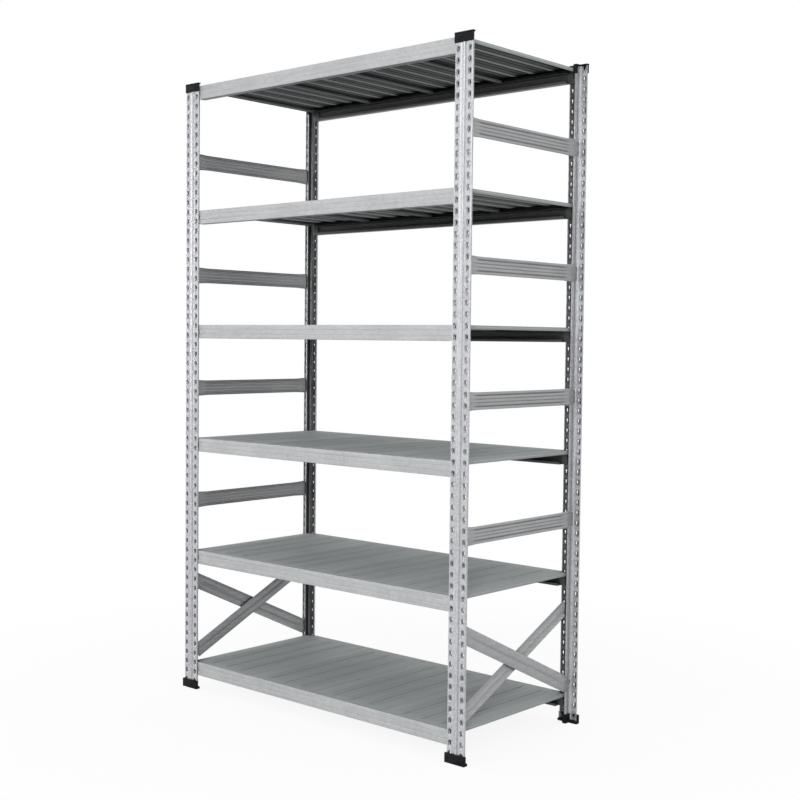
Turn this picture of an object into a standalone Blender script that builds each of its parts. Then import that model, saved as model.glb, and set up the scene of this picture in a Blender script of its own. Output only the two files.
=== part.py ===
"""Archive shelving: four slotted T posts, long beams hooked into them and ribbed steel decks.

Metres, +Z up. The front faces -Y and the origin lies on the floor, under the middle of the unit.
Each piece is modelled in a frame of its own and then set in its place:
a post has its outer face at y = 0 and reaches inwards along +Y,
a beam has the posts' outer face at y = 0 and the shelf surface at z = 0,
a side strip lies along Y with the face that meets the post at x = 0.
"""

import math

import bmesh
import bpy
from mathutils import Matrix, Vector

# Overall sizes
POST_SPACING = 1.210
DEPTH = 0.588
UNIT_HEIGHT = 2.120
SHELVES = 6
FIRST_SHELF = 0.096
RASTER = 0.033

# Gap left between two pieces that touch on the real unit
FIT = 0.0003
# How far a cutting tool runs past the material
OVERRUN = 0.001

# Posts: a rolled T, its flange to the front or the back and its web to the inside
POST_WIDTH = 0.065
POST_SHEET = 0.0015
POST_LIP = 0.0065
POST_BEAD_WIDTH = 0.013
POST_BEAD_SLOPE = 0.0015
POST_BEAD_RISE = 0.001
POST_WEB_DEPTH = 0.025
POST_WEB_WIDTH = 0.006
POST_WEB_TIP_WIDTH = 0.0048
POST_WEB_CREASE_SHARE = 0.55

# Slots in the post's flange: drops that are wide at the top and taper to a tip at the bottom
SLOT_COLUMN_SPACING = 0.0435
SLOT_HEIGHT = 0.017
SLOT_WIDTH = 0.009
SLOT_END_MARGIN = 0.001

# Caps and feet
CAP_HEIGHT = 0.029
CAP_TOP = 0.004
CAP_WALL = 0.0018
CAP_CHAMFER = 0.0008
FOOT_HEIGHT = 0.0285
FOOT_BASE = 0.0075
FOOT_WALL = 0.0045
FOOT_GRIP = 0.0045
SOCKET_BLOCK_WALL = 0.0035

# Beams
BEAM_HEIGHT = 0.047
BEAM_SHEET = 0.0012
BEAM_SETBACK = 0.003
BEAM_LEDGE = 0.016
BEAM_FOOT_WIDTH = 0.024
BEAM_FOOT_LIP = 0.008
BEAM_GROOVE_WIDTH = 0.003
BEAM_GROOVE_DEPTH = 0.0006
BEAM_NOTCH_WIDTH = 0.006
BEAM_NOTCH_TOP_SHARE = 0.30
BEAM_NOTCH_BOTTOM_SHARE = 0.70
HOOKS_PER_END = 2
HOOK_DROP = 0.004
HOOK_WIDTH = 0.0024
HOOK_HEADROOM = 0.006
TAB_MARGIN = 0.001

# Decks: ribbed panels that lie side by side on the beams' ledges
PANELS_PER_SHELF = 4
PANEL_SHEET = 0.001
PANEL_EDGE = 0.012
PANEL_GAP = 0.0006
PANEL_RIBS = 3
RIB_WIDTH = 0.016
RIB_DEPTH = 0.008

# Side bars and cross braces, both made of one folded strip
STRIP_DEPTH = 0.004
STRIP_SHEET = 0.0012
STRIP_GROOVE_DEPTH = 0.0014
BAR_HEIGHT = 0.0555
BAR_GROOVES = 4
BAR_GROOVE_WIDTH = 0.005
BAR_TONGUE_HEIGHT = 0.044
BAR_RISE = 0.174
BRACE_HEIGHT = 0.052
BRACE_GROOVES = 1
BRACE_GROOVE_WIDTH = 0.008
BRACE_TONGUE_HEIGHT = 0.036
BRACE_LOW = 0.026
BRACE_STEPS = 8
TONGUE_CLEAR = 0.004

# Values that follow from the sizes above
FLANGE_FRONT = POST_BEAD_RISE
FLANGE_BACK = POST_BEAD_RISE + POST_SHEET
LIP_END = POST_BEAD_RISE + POST_LIP
RISER_FRONT = LIP_END + FIT
RISER_BACK = RISER_FRONT + BEAM_SHEET
SOCKET_BLOCK_HALF = POST_WEB_WIDTH / 2 + FIT + SOCKET_BLOCK_WALL
STRIP_REACH = POST_WEB_WIDTH / 2 + FIT + STRIP_DEPTH
DECK_INSET = max(STRIP_REACH, SOCKET_BLOCK_HALF) + FIT
POST_BOTTOM = FOOT_BASE + FIT
SIDES = (("left", -1), ("right", 1))
ROWS = (("front", -1), ("rear", 1))


def post_top():
    """Height of the post's upper end, under the cap."""
    return UNIT_HEIGHT - CAP_TOP - FIT


def steps_to_top():
    """Steps of the raster from the first shelf's slots to the highest slots of the posts."""
    reach = SLOT_HEIGHT / 2 + SLOT_END_MARGIN
    return math.floor((post_top() - reach - FIRST_SHELF + HOOK_DROP) / RASTER)


def shelf_heights():
    """Heights of the shelf surfaces, lowest first: equal compartments, and the steps left over at the top."""
    compartments = SHELVES - 1
    steps = steps_to_top() // compartments
    heights = [FIRST_SHELF + RASTER * steps * level for level in range(compartments)]
    heights.append(FIRST_SHELF + RASTER * steps_to_top())
    return heights


def clear_scene():
    """Remove the objects that a new file starts with."""
    for item in list(bpy.data.objects):
        bpy.data.objects.remove(item, do_unlink=True)


def make_material(name, colour, roughness, metallic):
    """A Principled material of one colour."""
    material = bpy.data.materials.new(name)
    material.use_nodes = True
    shader = material.node_tree.nodes["Principled BSDF"]
    shader.inputs["Base Color"].default_value = (*colour, 1)
    shader.inputs["Roughness"].default_value = roughness
    shader.inputs["Metallic"].default_value = metallic
    return material


def prism(name, outlines, low, high, axes="XYZ"):
    """Closed prisms over outlines of (u, v) points, from low to high along w.

    axes names the directions that u, v and w take, in that order.
    """
    columns = [Vector([float(axis == letter) for axis in "XYZ"]) for letter in axes]
    turn = Matrix(columns).transposed().to_4x4()
    shape = bmesh.new()
    for outline in outlines:
        ring = [shape.verts.new((u, v, low)) for u, v in outline]
        face = shape.faces.new(ring)
        extruded = bmesh.ops.extrude_face_region(shape, geom=[face])
        raised = [item for item in extruded["geom"] if isinstance(item, bmesh.types.BMVert)]
        bmesh.ops.translate(shape, verts=raised, vec=(0, 0, high - low))
    bmesh.ops.transform(shape, matrix=turn, verts=shape.verts)
    bmesh.ops.recalc_face_normals(shape, faces=shape.faces)
    mesh = bpy.data.meshes.new(name)
    shape.to_mesh(mesh)
    shape.free()
    return mesh


def rectangle(u_low, u_high, v_low, v_high):
    """Outline of a rectangle."""
    return [(u_low, v_low), (u_high, v_low), (u_high, v_high), (u_low, v_high)]


def combine(mesh, tools, operation):
    """The mesh after a Boolean with each tool mesh in turn."""
    holder = bpy.data.objects.new(mesh.name, mesh)
    bpy.context.collection.objects.link(holder)
    helpers = []
    for tool in tools:
        helper = bpy.data.objects.new(tool.name, tool)
        helper.hide_render = True
        helper.display_type = "WIRE"
        bpy.context.collection.objects.link(helper)
        step = holder.modifiers.new(tool.name, "BOOLEAN")
        step.operation = operation
        step.solver = "EXACT"
        step.object = helper
        helpers.append(helper)
    graph = bpy.context.evaluated_depsgraph_get()
    result = bpy.data.meshes.new_from_object(holder.evaluated_get(graph))
    result.name = mesh.name
    for item in [holder, *helpers]:
        bpy.data.objects.remove(item, do_unlink=True)
    return result


def place(name, mesh, material, place_matrix):
    """One object of the unit, sharing its mesh with its repeats."""
    item = bpy.data.objects.new(name, mesh)
    item.matrix_world = place_matrix
    bpy.context.collection.objects.link(item)
    if not mesh.materials:
        mesh.materials.append(material)
    return item


def mirrored(points):
    """The points, followed by their mirror images in reverse order."""
    return points + [(-u, v) for u, v in reversed(points)]


def post_outline():
    """Section of the post, from the front bead round the lips to the web."""
    half = POST_WIDTH / 2
    bead = POST_BEAD_WIDTH / 2
    web = POST_WEB_WIDTH / 2
    tip = POST_WEB_TIP_WIDTH / 2
    crease = FLANGE_BACK + (POST_WEB_DEPTH - FLANGE_BACK) * POST_WEB_CREASE_SHARE
    right = [
        (bead, 0),
        (bead + POST_BEAD_SLOPE, FLANGE_FRONT),
        (half, FLANGE_FRONT),
        (half, LIP_END),
        (half - POST_SHEET, LIP_END),
        (half - POST_SHEET, FLANGE_BACK),
        (web, FLANGE_BACK),
        (web, crease),
        (tip, crease + POST_BEAD_SLOPE),
        (tip, POST_WEB_DEPTH),
    ]
    return mirrored(right)


def slot_outline(x, z):
    """A slot round the point (x, z) of the flange."""
    half_width = SLOT_WIDTH / 2
    half_height = SLOT_HEIGHT / 2
    return [(x, z - half_height), (x + half_width, z + half_height), (x - half_width, z + half_height)]


def slot_rows():
    """Heights of the slots, which keep the raster that the shelf hooks need."""
    hook = FIRST_SHELF - HOOK_DROP
    reach = SLOT_HEIGHT / 2 + SLOT_END_MARGIN
    below = math.floor((hook - reach - POST_BOTTOM) / RASTER)
    return [hook + RASTER * step for step in range(-below, steps_to_top() + 1)]


def post_mesh():
    """The post: a T section, hollow along its web, with two columns of slots."""
    body = prism("post", [post_outline()], POST_BOTTOM, post_top())
    hollow_half = POST_WEB_TIP_WIDTH / 4
    hollow_outline = rectangle(-hollow_half, hollow_half, POST_SHEET, POST_WEB_DEPTH - POST_SHEET)
    hollow = prism("hollow", [hollow_outline], POST_BOTTOM - OVERRUN, post_top() + OVERRUN)
    column = SLOT_COLUMN_SPACING / 2
    outlines = [slot_outline(side * column, z) for side in (-1, 1) for z in slot_rows()]
    slots = prism("slots", outlines, FLANGE_FRONT - OVERRUN, FLANGE_BACK + OVERRUN, "XZY")
    return combine(body, [hollow, slots], "DIFFERENCE")


def socket_mesh(name, height, plate, wall, grip, upward):
    """A plastic T cup round a post's end: a plate, a skirt on the outside and a block on the web.

    upward is true for a foot, whose plate lies below, and false for a cap.
    """
    side = POST_WIDTH / 2 + FIT + wall
    plate_back = LIP_END + FIT + wall
    block_back = POST_WEB_DEPTH + FIT + wall
    block = SOCKET_BLOCK_HALF
    right = [(side, -FIT - wall), (side, plate_back), (block, plate_back), (block, block_back)]
    body = prism(name, [mirrored(right)], 0, height)
    if not upward:
        chamfer_top(body, height)
    inside = POST_WIDTH / 2 + FIT
    web = POST_WEB_WIDTH / 2 + FIT
    right = [
        (inside, -FIT),
        (inside, grip),
        (side + OVERRUN, grip),
        (side + OVERRUN, plate_back + OVERRUN),
        (block, plate_back + OVERRUN),
        (block, FLANGE_BACK + FIT),
        (web, FLANGE_BACK + FIT),
        (web, POST_WEB_DEPTH + FIT),
    ]
    low, high = (plate, height + OVERRUN) if upward else (-OVERRUN, height - plate)
    return combine(body, [prism("inside", [mirrored(right)], low, high)], "DIFFERENCE")


def chamfer_top(mesh, height):
    """Break the edges round a cap's upper face."""
    shape = bmesh.new()
    shape.from_mesh(mesh)
    top = [edge for edge in shape.edges if all(vert.co.z > height - CAP_CHAMFER for vert in edge.verts)]
    bmesh.ops.bevel(shape, geom=top, offset=CAP_CHAMFER, segments=1, affect="EDGES")
    shape.to_mesh(mesh)
    shape.free()


def groove_points(face, depth, width, centres):
    """Outline points of V grooves sunk by depth into a face, as (face, height) pairs."""
    points = []
    for centre in centres:
        points.append((face, centre - width / 2))
        points.append((face + depth, centre))
        points.append((face, centre + width / 2))
    return points


def beam_outline():
    """Section of a beam: a grooved face, a ledge for the deck and a foot turned inwards."""
    sheet = BEAM_SHEET
    face = BEAM_SETBACK
    foot_end = face + BEAM_FOOT_WIDTH
    ledge_end = RISER_BACK + BEAM_LEDGE
    ledge = -PANEL_EDGE - FIT
    grooves = [-BEAM_HEIGHT * 2 / 3, -BEAM_HEIGHT / 3]
    return [
        (face, -BEAM_HEIGHT),
        *groove_points(face, BEAM_GROOVE_DEPTH, BEAM_GROOVE_WIDTH, grooves),
        (face, 0),
        (RISER_BACK, 0),
        (RISER_BACK, ledge),
        (ledge_end, ledge),
        (ledge_end, ledge - sheet),
        (RISER_FRONT, ledge - sheet),
        (RISER_FRONT, -sheet),
        (face + sheet, -sheet),
        (face + sheet, -BEAM_HEIGHT + sheet),
        (foot_end - sheet, -BEAM_HEIGHT + sheet),
        (foot_end - sheet, -BEAM_HEIGHT + BEAM_FOOT_LIP),
        (foot_end, -BEAM_HEIGHT + BEAM_FOOT_LIP),
        (foot_end, -BEAM_HEIGHT),
    ]


def tab_outline(side, beam_end):
    """The plate at one end of a beam that reaches behind the post's flange and carries the hooks."""
    slot_middle = POST_SPACING / 2 - SLOT_COLUMN_SPACING / 2
    root = side * (beam_end - BEAM_NOTCH_WIDTH)
    tip = side * (slot_middle + SLOT_WIDTH / 2)
    return rectangle(root, tip, BEAM_SHEET / 2 - BEAM_HEIGHT, -TAB_MARGIN)


def hook_outlines(side):
    """The hooks at one end of a beam, each let down until the sides of its slot hold it."""
    slot_middle = side * (POST_SPACING / 2 - SLOT_COLUMN_SPACING / 2)
    seat = SLOT_HEIGHT * (HOOK_WIDTH + 2 * FIT) / SLOT_WIDTH
    outlines = []
    for step in range(HOOKS_PER_END):
        slot_tip = -HOOK_DROP - RASTER * step - SLOT_HEIGHT / 2
        low = slot_tip + seat
        high = slot_tip + SLOT_HEIGHT - HOOK_HEADROOM
        outlines.append(rectangle(slot_middle - HOOK_WIDTH / 2, slot_middle + HOOK_WIDTH / 2, low, high))
    return outlines


def notch_outline(side, beam_end):
    """The notch in the face at one end of a beam."""
    root = side * (beam_end - BEAM_NOTCH_WIDTH)
    low = -BEAM_HEIGHT * BEAM_NOTCH_BOTTOM_SHARE
    high = -BEAM_HEIGHT * BEAM_NOTCH_TOP_SHARE
    return rectangle(root, side * (beam_end + OVERRUN), low, high)


def beam_mesh():
    """A beam between two posts, with a hooked tab at each end."""
    end = POST_SPACING / 2 - POST_WIDTH / 2 - FIT - CAP_WALL - FIT
    beam = prism("beam", [beam_outline()], -end, end, "YZX")
    tab_outlines = [tab_outline(side, end) for side in (-1, 1)]
    tabs = prism("tabs", tab_outlines, RISER_FRONT, RISER_BACK, "XZY")
    hook_ends = hook_outlines(-1) + hook_outlines(1)
    hooks = prism("hooks", hook_ends, FLANGE_FRONT, RISER_FRONT + BEAM_SHEET / 2, "XZY")
    beam = combine(beam, [tabs, hooks], "UNION")
    notch_outlines = [notch_outline(side, end) for side in (-1, 1)]
    face_back = BEAM_SETBACK + BEAM_SHEET
    notches = prism("notches", notch_outlines, BEAM_SETBACK - OVERRUN, face_back + OVERRUN, "XZY")
    return combine(beam, [notches], "DIFFERENCE")


def panel_width():
    """Width of one deck panel."""
    span = POST_SPACING - 2 * DECK_INSET
    return (span - PANEL_GAP * (PANELS_PER_SHELF - 1)) / PANELS_PER_SHELF


def panel_mesh():
    """A deck panel: edges folded down and ribs pressed in from the top."""
    width = panel_width()
    half = width / 2
    sheet = PANEL_SHEET
    centres = [width * (rib + 1) / (PANEL_RIBS + 1) - half for rib in range(PANEL_RIBS)]
    upper = groove_points(0, -RIB_DEPTH, RIB_WIDTH, centres)
    lower = groove_points(-sheet, -RIB_DEPTH, RIB_WIDTH, centres)
    outline = [(-PANEL_EDGE, -half), (0, -half), *upper, (0, half), (-PANEL_EDGE, half)]
    outline += [(-PANEL_EDGE, half - sheet), (-sheet, half - sheet), *reversed(lower)]
    outline += [(-sheet, sheet - half), (-PANEL_EDGE, sheet - half)]
    length = DEPTH / 2 - RISER_BACK - FIT
    return prism("panel", [outline], -length, length, "ZXY")


def strip_outline(height, grooves, groove_width):
    """Section of a folded strip, its open side at x = 0."""
    half = height / 2
    sheet = STRIP_SHEET
    centres = [height * (groove + 1) / (grooves + 1) - half for groove in range(grooves)]
    outer = groove_points(STRIP_DEPTH, -STRIP_GROOVE_DEPTH, groove_width, centres)
    inner = groove_points(STRIP_DEPTH - sheet, -STRIP_GROOVE_DEPTH, groove_width, centres)
    outline = [(0, -half), (STRIP_DEPTH, -half), *outer, (STRIP_DEPTH, half), (0, half)]
    outline += [(0, half - sheet), (STRIP_DEPTH - sheet, half - sheet), *reversed(inner)]
    outline += [(STRIP_DEPTH - sheet, sheet - half), (0, sheet - half)]
    return outline


def strip_mesh(name, outline, tongue_height, body_half, tongue_half):
    """A strip along Y, closed at both ends, with a flat tongue that lies on the post's web."""
    body = prism(name, [outline], -body_half, body_half, "XZY")
    sheet = STRIP_SHEET
    half = max(height for _, height in outline)
    ends = []
    for side in (-1, 1):
        walls = rectangle(-half, half, side * (body_half - sheet), side * body_half)
        ends.append(prism("end", [walls], 0, STRIP_DEPTH, "ZYX"))
        tongue = rectangle(
            -tongue_height / 2, tongue_height / 2, side * (body_half - sheet / 2), side * tongue_half
        )
        ends.append(prism("tongue", [tongue], 0, sheet, "ZYX"))
    return combine(body, ends, "UNION")


def bar_mesh():
    """A level side bar, from the front post's web to the rear one's."""
    outline = strip_outline(BAR_HEIGHT, BAR_GROOVES, BAR_GROOVE_WIDTH)
    body_half = DEPTH / 2 - POST_WEB_DEPTH - FIT
    tongue_half = DEPTH / 2 - FLANGE_BACK - TONGUE_CLEAR
    return strip_mesh("bar", outline, BAR_TONGUE_HEIGHT, body_half, tongue_half)


def brace_angle():
    """Slope of a cross brace, whose ends lie on the middle of the webs."""
    run = DEPTH - POST_WEB_DEPTH - FLANGE_BACK
    return math.atan2(BRACE_STEPS * RASTER, run)


def brace_mesh():
    """A cross brace, modelled level."""
    outline = strip_outline(BRACE_HEIGHT, BRACE_GROOVES, BRACE_GROOVE_WIDTH)
    slope = brace_angle()
    corner = math.sin(slope) * BRACE_TONGUE_HEIGHT / 2
    tongue_half = (DEPTH / 2 - FLANGE_BACK - TONGUE_CLEAR / 2 - corner) / math.cos(slope)
    body_half = (DEPTH / 2 - POST_WEB_DEPTH - FIT) / math.cos(slope)
    return strip_mesh("brace", outline, BRACE_TONGUE_HEIGHT, body_half, tongue_half)


def at(x, y, z):
    """Matrix that moves a piece to a point."""
    return Matrix.Translation((x, y, z))


def facing(row_side):
    """Turn that makes a piece modelled for the front face the front or the rear."""
    return Matrix.Rotation(math.pi if row_side > 0 else 0, 4, "Z")


def add_posts(steel, plastic):
    """Posts with their caps and feet."""
    post = post_mesh()
    cap = socket_mesh("cap", CAP_HEIGHT, CAP_TOP, CAP_WALL, BEAM_SETBACK - FIT, False)
    foot = socket_mesh("foot", FOOT_HEIGHT, FOOT_BASE, FOOT_WALL, FOOT_GRIP, True)
    cap_bottom = post_top() + FIT + CAP_TOP - CAP_HEIGHT
    for row, row_side in ROWS:
        for side, side_sign in SIDES:
            x = side_sign * POST_SPACING / 2
            y = row_side * DEPTH / 2
            turn = facing(row_side)
            place(f"post_{row}_{side}", post, steel, at(x, y, 0) @ turn)
            place(f"cap_{row}_{side}", cap, plastic, at(x, y, cap_bottom) @ turn)
            place(f"foot_{row}_{side}", foot, plastic, at(x, y, 0) @ turn)


def add_shelves(beam_steel, deck_steel):
    """The beams and deck panels of each shelf."""
    beam = beam_mesh()
    panel = panel_mesh()
    pitch = panel_width() + PANEL_GAP
    first = -pitch * (PANELS_PER_SHELF - 1) / 2
    for level, height in enumerate(shelf_heights(), start=1):
        for row, row_side in ROWS:
            turn = facing(row_side)
            place(f"beam_{row}_{level}", beam, beam_steel, at(0, row_side * DEPTH / 2, height) @ turn)
        for number in range(PANELS_PER_SHELF):
            x = first + pitch * number
            place(f"deck_{level}_panel_{number + 1}", panel, deck_steel, at(x, 0, height))


def add_side_bars(steel):
    """Level bars on both sides, above each shelf from the second one up."""
    bar = bar_mesh()
    for level, height in enumerate(shelf_heights()[1:-1], start=2):
        for side, side_sign in SIDES:
            x = side_sign * (POST_SPACING / 2 + POST_WEB_WIDTH / 2 + FIT)
            turn = Matrix.Rotation(math.pi if side_sign < 0 else 0, 4, "Z")
            place(f"side_bar_{side}_{level}", bar, steel, at(x, 0, height + BAR_RISE) @ turn)


def add_cross_braces(steel):
    """Two braces crossed on each side of the bottom compartment, one on each face of the webs."""
    brace = brace_mesh()
    middle = FIRST_SHELF + BRACE_LOW + BRACE_STEPS * RASTER / 2
    for side, side_sign in SIDES:
        for layer, outward in (("outer", 1), ("inner", -1)):
            x = side_sign * (POST_SPACING / 2 + outward * (POST_WEB_WIDTH / 2 + FIT))
            turn = Matrix.Rotation(math.pi if side_sign * outward < 0 else 0, 4, "Z")
            tilt = Matrix.Rotation(-outward * brace_angle(), 4, "X")
            place(f"brace_{side}_{layer}", brace, steel, at(x, 0, middle) @ tilt @ turn)


def main():
    """Build the whole unit."""
    clear_scene()
    post_steel = make_material("post_steel", (0.62, 0.63, 0.65), 0.38, 0.85)
    beam_steel = make_material("beam_steel", (0.56, 0.58, 0.59), 0.5, 0.6)
    deck_steel = make_material("deck_steel", (0.50, 0.52, 0.52), 0.5, 0.7)
    strip_steel = make_material("strip_steel", (0.42, 0.43, 0.44), 0.5, 0.7)
    black_plastic = make_material("black_plastic", (0.03, 0.03, 0.032), 0.5, 0.0)
    add_posts(post_steel, black_plastic)
    add_shelves(beam_steel, deck_steel)
    add_side_bars(strip_steel)
    add_cross_braces(strip_steel)


main()
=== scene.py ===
"""Fine shapes and finishes of the archive shelving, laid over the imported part.

Metres, +Z up, in the part's own frame: the front faces -Y and the origin lies on the floor, under the middle
of the unit. Each kind of piece is shaped once in a frame of its own and then set in its places. Its main sizes
are read from the part's nodes, and the fine ones are fields of its class.
"""

from __future__ import annotations

import logging
import math
from dataclasses import dataclass
from enum import Enum
from typing import Any, Sequence

import bmesh
import bpy
import numpy as np
from mathutils import Matrix, Vector


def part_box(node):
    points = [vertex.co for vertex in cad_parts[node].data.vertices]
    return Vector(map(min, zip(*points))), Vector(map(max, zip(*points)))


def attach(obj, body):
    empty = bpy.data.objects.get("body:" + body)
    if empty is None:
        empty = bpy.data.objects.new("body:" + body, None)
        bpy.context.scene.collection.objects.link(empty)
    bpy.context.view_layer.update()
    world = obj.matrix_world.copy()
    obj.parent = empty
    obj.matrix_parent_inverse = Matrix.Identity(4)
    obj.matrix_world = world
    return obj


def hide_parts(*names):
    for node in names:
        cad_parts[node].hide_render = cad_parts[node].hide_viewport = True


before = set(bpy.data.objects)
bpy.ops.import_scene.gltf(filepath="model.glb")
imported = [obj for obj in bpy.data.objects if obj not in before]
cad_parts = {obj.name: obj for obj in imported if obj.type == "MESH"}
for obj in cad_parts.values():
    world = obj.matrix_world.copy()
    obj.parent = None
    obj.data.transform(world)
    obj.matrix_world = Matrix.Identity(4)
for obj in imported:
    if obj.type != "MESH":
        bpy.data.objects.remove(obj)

LOG = logging.getLogger("archive_shelving")
BODY = "root"
SHELVES = 6
FIRST_BAR_LEVEL = 2
SMOOTH_ANGLE = math.radians(38)
WELD = 0.00002
FINE_WELD = 0.000002
OVERRUN = 0.001
OPENNESS_SAMPLES = 8
BLACK = (0.0, 0.0, 0.0)
WHITE = (1.0, 1.0, 1.0)

Point = tuple[float, float]
Triple = tuple[float, float, float]
Station = tuple[Vector, Vector]
Mesh = bpy.types.Mesh
Shape = bmesh.types.BMesh


class Sign(Enum):
    """A choice between the two signs of an axis."""

    @property
    def word(self) -> str:
        """The choice's word in node names."""
        return self.name.lower()


class Row(Sign):
    """The front and the rear of the unit, as the sign of Y."""

    FRONT = -1
    REAR = 1

    @property
    def turn(self) -> Matrix:
        """Turn that makes a piece shaped for the front face this row."""
        return Matrix.Rotation(math.pi if self is Row.REAR else 0, 4, "Z")


class Side(Sign):
    """The left and the right of the unit, as the sign of X."""

    LEFT = -1
    RIGHT = 1


class Plane(Enum):
    """Directions that an outline's u and v and the sweep's w take, in that order."""

    LEVEL = ("X", "Y", "Z")
    ACROSS = ("Y", "Z", "X")
    ALONG = ("X", "Z", "Y")

    def matrix(self) -> Matrix:
        """Matrix that turns (u, v, w) into (x, y, z)."""
        columns = [Vector([float(axis == letter) for axis in "XYZ"]) for letter in self.value]
        return Matrix(columns).transposed().to_4x4()


class Signal:
    """What flows out of a shader socket, with Python's arithmetic for numbers."""

    def __init__(self, graph: ShaderGraph, socket: bpy.types.NodeSocket) -> None:
        """Keep the graph and its output socket."""
        self.graph = graph
        self.socket = socket

    def _calculate(self, operation: str, first: Signal | float, second: Signal | float = 0.0) -> Signal:
        """Result of a Math node."""
        return self.graph.node("ShaderNodeMath", {"operation": operation}, {0: first, 1: second})["Value"]

    def __add__(self, other: Signal | float) -> Signal:
        """Sum."""
        return self._calculate("ADD", self, other)

    def __radd__(self, other: float) -> Signal:
        """Sum with a number on the left."""
        return self._calculate("ADD", other, self)

    def __sub__(self, other: Signal | float) -> Signal:
        """Difference."""
        return self._calculate("SUBTRACT", self, other)

    def __rsub__(self, other: float) -> Signal:
        """Difference from a number on the left."""
        return self._calculate("SUBTRACT", other, self)

    def __mul__(self, other: Signal | float) -> Signal:
        """Product."""
        return self._calculate("MULTIPLY", self, other)

    def __rmul__(self, other: float) -> Signal:
        """Product with a number on the left."""
        return self._calculate("MULTIPLY", other, self)

    def __abs__(self) -> Signal:
        """Size without the sign."""
        return self._calculate("ABSOLUTE", self)

    def band(self, low: float, high: float) -> Signal:
        """Ease from 0 at the low value to 1 at the high one."""
        settings = {"interpolation_type": "SMOOTHSTEP"}
        return self.graph.node("ShaderNodeMapRange", settings, {"Value": self, 1: low, 2: high})["Result"]

    def swing(self, amount: float) -> Signal:
        """Swing round zero by up to the amount, for a signal between 0 and 1."""
        return (self - 0.5) * (2 * amount)


class Outputs:
    """The outputs of a node, read by name as signals."""

    def __init__(self, graph: ShaderGraph, node: bpy.types.Node) -> None:
        """Keep the graph and its node."""
        self.graph = graph
        self.node = node

    def __getitem__(self, name: str) -> Signal:
        """The enabled output with that name."""
        socket = next(item for item in self.node.outputs if item.name == name and item.enabled)
        return Signal(self.graph, socket)


class ShaderGraph:
    """The node tree of a material or a world, built from plain expressions."""

    def __init__(self, owner: bpy.types.Material | bpy.types.World) -> None:
        """Start with an empty tree.

        Args:
            owner: The material or the world that the tree belongs to.
        """
        self.owner = owner
        owner.use_nodes = True
        self.tree = owner.node_tree
        self.tree.nodes.clear()

    def node(self, kind: str, settings: dict[str, Any] | None = None,
             values: dict[str | int, Any] | None = None) -> Outputs:
        """Add a node, set its settings and then fill or link its inputs.

        Args:
            kind: The node's type.
            settings: Properties of the node.
            values: Inputs by name or number, each a signal, a number, a colour or a vector.

        Returns:
            The node's outputs.
        """
        node = self.tree.nodes.new(kind)
        for name, value in (settings or {}).items():
            setattr(node, name, value)
        for key, value in (values or {}).items():
            socket = node.inputs[key] if isinstance(key, int) else self._enabled(node, key)
            if isinstance(value, Signal):
                self.tree.links.new(value.socket, socket)
            elif isinstance(value, tuple) and socket.type == "RGBA":
                socket.default_value = (*value, 1)
            else:
                socket.default_value = value
        return Outputs(self, node)

    @staticmethod
    def _enabled(node: bpy.types.Node, name: str) -> bpy.types.NodeSocket:
        """The node's enabled input with that name."""
        return next(item for item in node.inputs if item.name == name and item.enabled)

    def blend(self, factor: Signal | float, first: Signal | Triple, second: Signal | Triple) -> Signal:
        """Mix two colours: a factor of 0 gives the first and 1 the second."""
        settings = {"data_type": "RGBA"}
        return self.node("ShaderNodeMix", settings, {"Factor": factor, "A": first, "B": second})["Result"]

    def painted_shade(self, colour: Signal, where: Signal, share: float) -> Signal:
        """The colour with painted shade: only a share of it is left where the signal says so."""
        return self.blend(where, colour, self.blend(share, BLACK, colour))

    def axes(self, vector: Signal) -> Outputs:
        """A vector's X, Y and Z."""
        return self.node("ShaderNodeSeparateXYZ", None, {"Vector": vector})

    def place(self) -> Signal:
        """Object coordinates, which are the part's own metres."""
        return self.node("ShaderNodeTexCoord")["Object"]

    def facing(self) -> Outputs:
        """The X, Y and Z of the way that the face looks."""
        return self.axes(self.node("ShaderNodeNewGeometry")["True Normal"])

    def openness(self, reach: float, band: Point) -> Signal:
        """How open the surface is within that reach, eased over the band."""
        settings = {"samples": OPENNESS_SAMPLES}
        return self.node("ShaderNodeAmbientOcclusion", settings, {"Distance": reach})["AO"].band(*band)

    def noise(self, place: Signal, scale: float, detail: float) -> Signal:
        """Soft noise between 0 and 1, with so many waves in a metre and so many finer layers."""
        return self.node("ShaderNodeTexNoise", None, {"Vector": place, "Scale": scale, "Detail": detail})["Fac"]

    def relief(self, strength: float, depth: float, height: Signal) -> Signal:
        """Normal of a surface with fine relief."""
        return self.node("ShaderNodeBump", None, {"Strength": strength, "Distance": depth, "Height": height})["Normal"]

    def finish(self, shader: Signal) -> bpy.types.Material | bpy.types.World:
        """Link the shader to the output and hand over the owner.

        Args:
            shader: The finished shader.

        Returns:
            The material or the world.
        """
        part = "World" if isinstance(self.owner, bpy.types.World) else "Material"
        self.node(f"ShaderNodeOutput{part}", None, {"Surface": shader})
        return self.owner


@dataclass(frozen=True)
class Finish:
    """A finish between a dark and a bright tone, with a slot's name that nothing here reads."""

    name: str
    slot: str
    dark: Triple
    bright: Triple

    def surface(self, graph: ShaderGraph) -> dict[str, Any]:
        """Inputs of the surface's shader, which each kind of finish works out."""
        raise NotImplementedError

    def material(self) -> bpy.types.Material:
        """Find the finish's material, or make it.

        Returns:
            The material.
        """
        made = bpy.data.materials.get(self.name)
        if made:
            return made
        graph = ShaderGraph(bpy.data.materials.new(self.name))
        return graph.finish(graph.node("ShaderNodeBsdfPrincipled", None, self.surface(graph))["BSDF"])


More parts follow.
